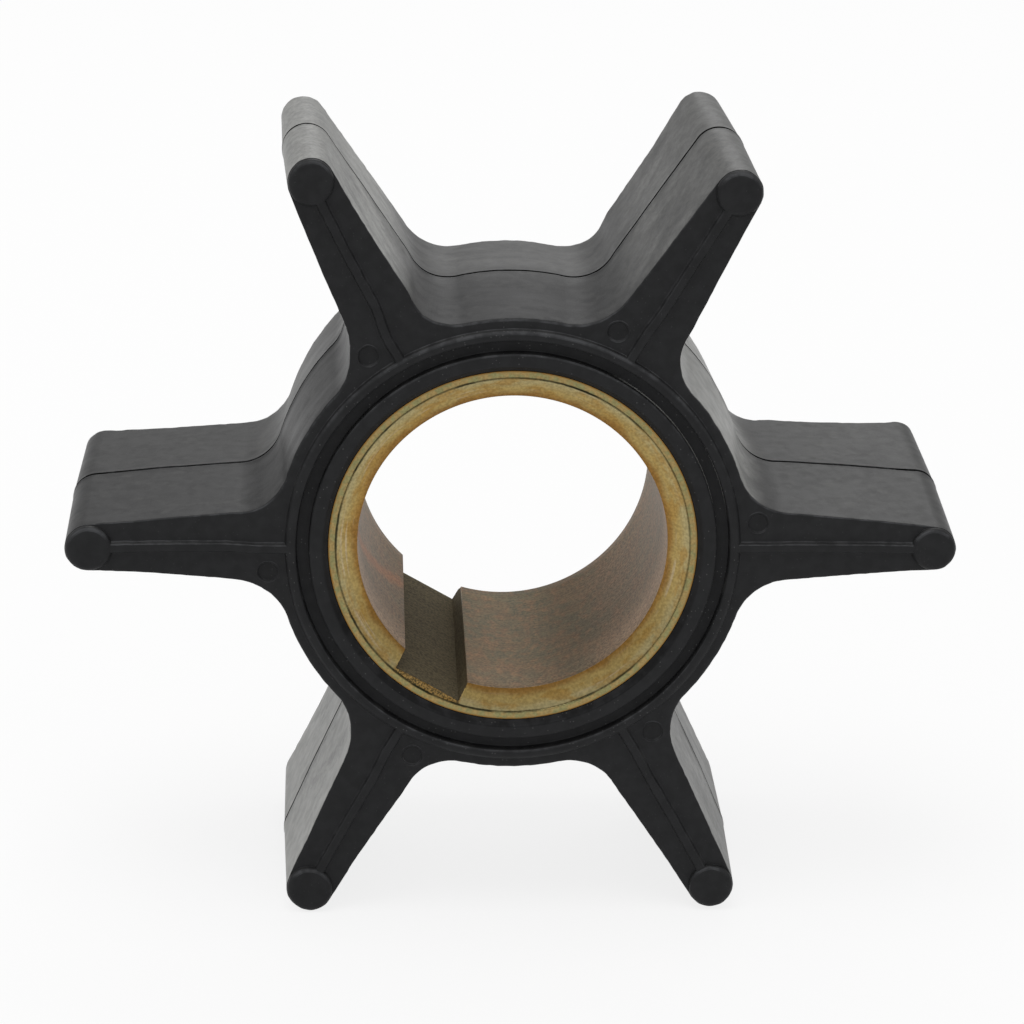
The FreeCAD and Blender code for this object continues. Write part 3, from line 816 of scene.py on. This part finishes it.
# The noises that the bush's finishes share.
def brassWear(tree):
    cloudy = {"Along X": 0.35, "Along Y": 0.3, "Along Z": 0.35, "Detail": 4.0, "Distortion": 0.6}
    blotchy = {"Along X": 1.6, "Along Y": 1.1, "Along Z": 1.6, "Detail": 6.0}
    return {
        "marks": placeGroup(tree, turningMarks, {"Per Millimetre": 7.0, "Unevenness": 1.2})[0],
        "fineMarks": placeGroup(tree, turningMarks, {"Per Millimetre": 22.0, "Unevenness": 3.0})[0],
        "smears": placeGroup(tree, turningMarks, {"Per Millimetre": 2.2, "Unevenness": 5.0})[0],
        "clouds": placeGroup(tree, streaks, cloudy)[0],
        "blots": placeGroup(tree, streaks, blotchy)[0],
        "grains": evenNoise(tree, 5.0, 4.0),
    }


# Bore: brown patina with copper and green blotches, pitted, and painted paler grey toward the mouth and on
# its left and right sides: a painted reflection.
def borePatina(tree, space, wear, across):
    look = brassLook
    colour = blendColours(tree, times(tree, ramp(tree, wear["clouds"], 0.4, 0.6), 0.8), look["boreColour"],
                          look["greenColour"])
    colour = blendColours(tree, times(tree, ramp(tree, wear["blots"], 0.46, 0.64), 0.5), colour,
                          look["copperColour"])
    # Painted reflection: paler grey toward the mouth and on the bore's sides.
    towardMouth = plus(tree, space["Depth"], times(tree, wear["grains"], 3.0))
    sideways = ramp(tree, calc(tree, "ABSOLUTE", across), 0.35, 0.85, 0.2, 1.0)
    reflectedGrey = times(tree, ramp(tree, towardMouth, *look["reflectionDepth"], 0.9, 0.35), sideways)
    colour = blendColours(tree, reflectedGrey, colour, look["reflectionGreyColour"])
    pits = placeGroup(tree, specks, {"Per Millimetre": 3.4, "Size": 0.24, "Patchiness": 0.3})[0]
    return blendColours(tree, times(tree, pits, 0.55), colour, look["darkColour"])


# A slanted orange stain crosses the left side of the bore.
def boreStain(tree, space, wear, across):
    look = brassLook
    height = shaderNode(tree, "SeparateXYZ", {0: space["Place"]}).outputs[2]
    slant = plus(tree, height, times(tree, space["Depth"], look["stainSlope"]))
    offStain = calc(tree, "ABSOLUTE", minus(tree, slant, look["stainHeight"]))
    offStain = plus(tree, offStain, times(tree, minus(tree, wear["blots"], 0.5), 2.5))
    return times(tree, ramp(tree, offStain, look["stainCore"], look["stainHalfWidth"], 0.75, 0.0),
                 ramp(tree, across, -0.62, -0.75))


# The keyway in the bore is dark and dull; the edge at its mouth is worn, with a painted highlight along it.
def boreFinish(tree, space, wear, across, inKeyway):
    look = brassLook
    colour = borePatina(tree, space, wear, across)
    colour = blendColours(tree, boreStain(tree, space, wear, across), colour, look["stainColour"])
    colour = blendColours(tree, inKeyway, colour, look["keywayColour"])
    # Painted highlight, with wear, along the keyway's mouth edge.
    keyEdge = times(tree, ramp(tree, space["Radius"], *look["keyEdgeStart"]),
                    ramp(tree, space["Radius"], *look["keyEdgeEnd"], 1.0, 0.0))
    colour = blendColours(tree, times(tree, keyEdge, 0.7), colour, look["wornAndSheenColour"])
    uneven = plus(tree, times(tree, wear["marks"], 0.3), times(tree, wear["grains"], 0.7))
    return toned(tree, colour, ramp(tree, uneven, 0.37, 0.63, 0.64, 1.34))


# The turned chamfer is paler at its rim, streaked with a painted sheen along its turned marks, browned along
# the bore, and gritty where the keyway breaks through it.
def chamferFinish(tree, space, wear):
    look = brassLook
    wander = plus(tree, space["Radius"], times(tree, minus(tree, wear["clouds"], 0.5), 0.9))
    colour = blendColours(tree, ramp(tree, wander, *look["paleReach"], 0.0, 0.85), look["chamferColour"],
                          look["paleColour"])
    colour = blendColours(tree, times(tree, ramp(tree, wear["smears"], 0.46, 0.62), 0.7), colour,
                          look["ochreColour"])
    # Painted sheen: pale streaks along the turned marks.
    sheen = times(tree, ramp(tree, wear["marks"], 0.54, 0.68),
                  ramp(tree, wear["clouds"], 0.42, 0.6, 0.5, 0.0))
    colour = blendColours(tree, sheen, colour, look["wornAndSheenColour"])
    speckled = plus(tree, space["Radius"], times(tree, wear["grains"], 0.6))
    browned = calc(tree, "MAXIMUM", ramp(tree, wander, *look["brownReach"], 0.9, 0.0),
                   ramp(tree, speckled, *look["brownSpecksReach"], 0.85, 0.0))
    colour = blendColours(tree, browned, colour, look["brownColour"])
    burr = times(tree, ramp(tree, nearHeading(tree, space, bush["keyAngle"]), *look["burrSpread"]),
                 ramp(tree, space["Depth"], *look["burrDepth"], 0.85, 0.0))
    gritty = blendColours(tree, ramp(tree, evenNoise(tree, 9.0, 2.0), 0.4, 0.6), look["sootColour"],
                          look["burrColour"])
    return blendColours(tree, burr, colour, gritty)


# The flat outside the chamfer is mottled green and gold with a brown rim.
def flatFinish(tree, space, wear):
    look = brassLook
    colour = blendColours(tree, ramp(tree, wear["blots"], 0.4, 0.6), look["flatColour"],
                          look["verdigrisColour"])
    outward = plus(tree, space["Radius"], times(tree, wear["grains"], 0.35))
    return blendColours(tree, ramp(tree, outward, *look["rimReach"], 0.0, 0.9), colour, look["brownColour"])


# A scribed line, broken and fainter to the right, runs between the chamfer and the flat.
def scribedLine(tree, space, wear, across):
    look = brassLook
    shaky = plus(tree, space["Radius"], times(tree, minus(tree, wear["blots"], 0.5), 0.12))
    offLine = calc(tree, "ABSOLUTE", minus(tree, shaky, look["lineRadius"]))
    fade = times(tree, ramp(tree, wear["clouds"], 0.35, 0.6, 0.95, 0.4),
                 ramp(tree, across, 0.5, 0.85, 1.0, 0.5))
    return times(tree, ramp(tree, offLine, *look["lineHalfWidth"], 1.0, 0.0), fade)


def mouthFinish(tree, space, wear, across):
    look = brassLook
    onFlat = ramp(tree, space["Radius"], *look["flatReach"])
    colour = blendColours(tree, onFlat, chamferFinish(tree, space, wear), flatFinish(tree, space, wear))
    colour = blendColours(tree, scribedLine(tree, space, wear, across), colour, look["darkColour"])
    return toned(tree, colour, ramp(tree, wear["grains"], 0.3, 0.7, 0.82, 1.16))


def makeBrass():
    look = brassLook
    material, tree, shader = newMaterial("turnedBrass")
    space, wear = placeGroup(tree, shaftSpace), brassWear(tree)
    across = shaderNode(tree, "SeparateXYZ", {0: space["Direction"]}).outputs[0]
    inKeyway = ramp(tree, space["Radius"], *look["keywayReach"])
    atMouth = ramp(tree, space["Facing"], 0.25, 0.45)
    colour = blendColours(tree, atMouth, boreFinish(tree, space, wear, across, inKeyway),
                          mouthFinish(tree, space, wear, across))
    rough = ramp(tree, inKeyway, 0.0, 1.0, look["boreRoughness"], look["keywayRoughness"])
    rough = blendValues(tree, atMouth, rough, look["mouthRoughness"])
    rough = plus(tree, rough, times(tree, minus(tree, wear["fineMarks"], 0.5), 0.3))
    height = plus(tree, times(tree, wear["fineMarks"], 0.6), times(tree, wear["marks"], 0.5))
    dressShader(tree, shader, colour, rough, height, look["bump"])
    metal = ramp(tree, atMouth, 0.0, 1.0, look["boreMetal"], look["mouthMetal"])
    tree.links.new(metal, shader.inputs["Metallic"])
    return material


bushPoints, bushFaces = buildBush()
meshPiece("brassBush", bushPoints, bushFaces, ["brass_hub"], makeBrass())


studio = {
    "floorColour": (0.88, 0.88, 0.88, 1), "farColour": (0.64, 0.64, 0.64, 1), "floorSize": 8.0,
    "fadeStart": 0.3, "fadeEnd": 1.1, "floorGlow": 0.82,
    "worldLight": 0.62,
    # Position and size in metres, power in watts.
    "softBoxes": [
        ((-0.1, -0.08, 0.69), 0.5, 2.0),
        ((0.1, 0.75, 0.62), 0.6, 1.6),
    ],
}


def seenDirectly(tree):
    rays = shaderNode(tree, "LightPath").outputs
    seen = calc(tree, "MAXIMUM", rays["Is Camera Ray"], rays["Is Glossy Ray"])
    return calc(tree, "MAXIMUM", seen, rays["Is Transmission Ray"])


def buildStudio():
    low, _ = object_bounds()
    size = studio["floorSize"]
    corners = [(x * size / 2, y * size / 2, low.z) for x, y in ((-1, -1), (1, -1), (1, 1), (-1, 1))]
    mesh = bpy.data.meshes.new("studioFloor")
    mesh.from_pydata(corners, [], [(0, 1, 2, 3)])
    floor = bpy.data.objects.new("studioFloor", mesh)
    bpy.context.scene.collection.objects.link(floor)
    material, tree, shader = newMaterial("palePaper")
    tree.nodes.remove(shader)
    spot = shaderNode(tree, "TexCoord").outputs["Object"]
    distance = shaderNode(tree, "VectorMath", {0: spot}, operation="LENGTH").outputs["Value"]
    far = ramp(tree, distance, studio["fadeStart"], studio["fadeEnd"])
    matt = blendColours(tree, far, studio["floorColour"], studio["farColour"])
    bright = blendColours(tree, far, (1, 1, 1, 1), studio["farColour"])
    paper = shaderNode(tree, "BsdfDiffuse", {"Color": matt})
    white = shaderNode(tree, "Emission", {"Color": bright})
    glow = times(tree, seenDirectly(tree), studio["floorGlow"])
    both = shaderNode(tree, "MixShader", {0: glow, 1: paper.outputs[0], 2: white.outputs[0]})
    tree.links.new(both.outputs[0], tree.nodes["Material Output"].inputs["Surface"])
    mesh.materials.append(material)

    world = bpy.data.worlds.new("paleRoom")
    bpy.context.scene.world = world
    world.use_nodes = True
    background = world.node_tree.nodes["Background"]
    background.inputs["Color"].default_value = (1, 1, 1, 1)
    background.inputs["Strength"].default_value = studio["worldLight"]

    for number, (place, wide, power) in enumerate(studio["softBoxes"]):
        lamp = bpy.data.lights.new(f"softBox{number}", "AREA")
        lamp.shape, lamp.size, lamp.energy = "DISK", wide, power
        holder = bpy.data.objects.new(f"softBox{number}", lamp)
        holder.location = place
        holder.rotation_mode = "QUATERNION"
        holder.rotation_quaternion = (-Vector(place)).to_track_quat("-Z", "Y")
        bpy.context.scene.collection.objects.link(holder)


# The camera stands a little left of the shaft and 19 degrees above it.
view = {
    "elevation": 19.192, "azimuth": 2.306, "roll": 0.691,
    "offsetMm": (-0.317, -0.979), "distanceMm": 288.22, "focalPixels": 3760.3,
    "framePixels": 1024, "sensorMm": 36.0, "clipMetres": (0.01, 20),
}


def placeCamera():
    up, turn, roll = (math.radians(view[k]) for k in ("elevation", "azimuth", "roll"))
    ahead = Vector((math.sin(turn) * math.cos(up), math.cos(turn) * math.cos(up), -math.sin(up)))
    right = Vector((math.cos(turn), -math.sin(turn), 0))
    down = ahead.cross(right)
    across = right * math.cos(roll) - down * math.sin(roll)
    below = right * math.sin(roll) + down * math.cos(roll)
    shift = Vector((*view["offsetMm"], view["distanceMm"]))
    spot = -(across * shift.x + below * shift.y + ahead * shift.z) * metresPerMm
    lens = bpy.data.cameras.new("camera")
    lens.sensor_width = view["sensorMm"]
    lens.lens = view["focalPixels"] / view["framePixels"] * view["sensorMm"]
    lens.clip_start, lens.clip_end = view["clipMetres"]
    camera = bpy.data.objects.new("camera", lens)
    axes = Matrix((across, -below, -ahead)).transposed()
    camera.matrix_world = Matrix.Translation(spot) @ axes.to_4x4()
    bpy.context.scene.collection.objects.link(camera)
    bpy.context.scene.camera = camera


buildStudio()
placeCamera()
bpy.context.scene.view_settings.view_transform = "Standard"
print("studio ready")

bpy.context.view_layer.update()
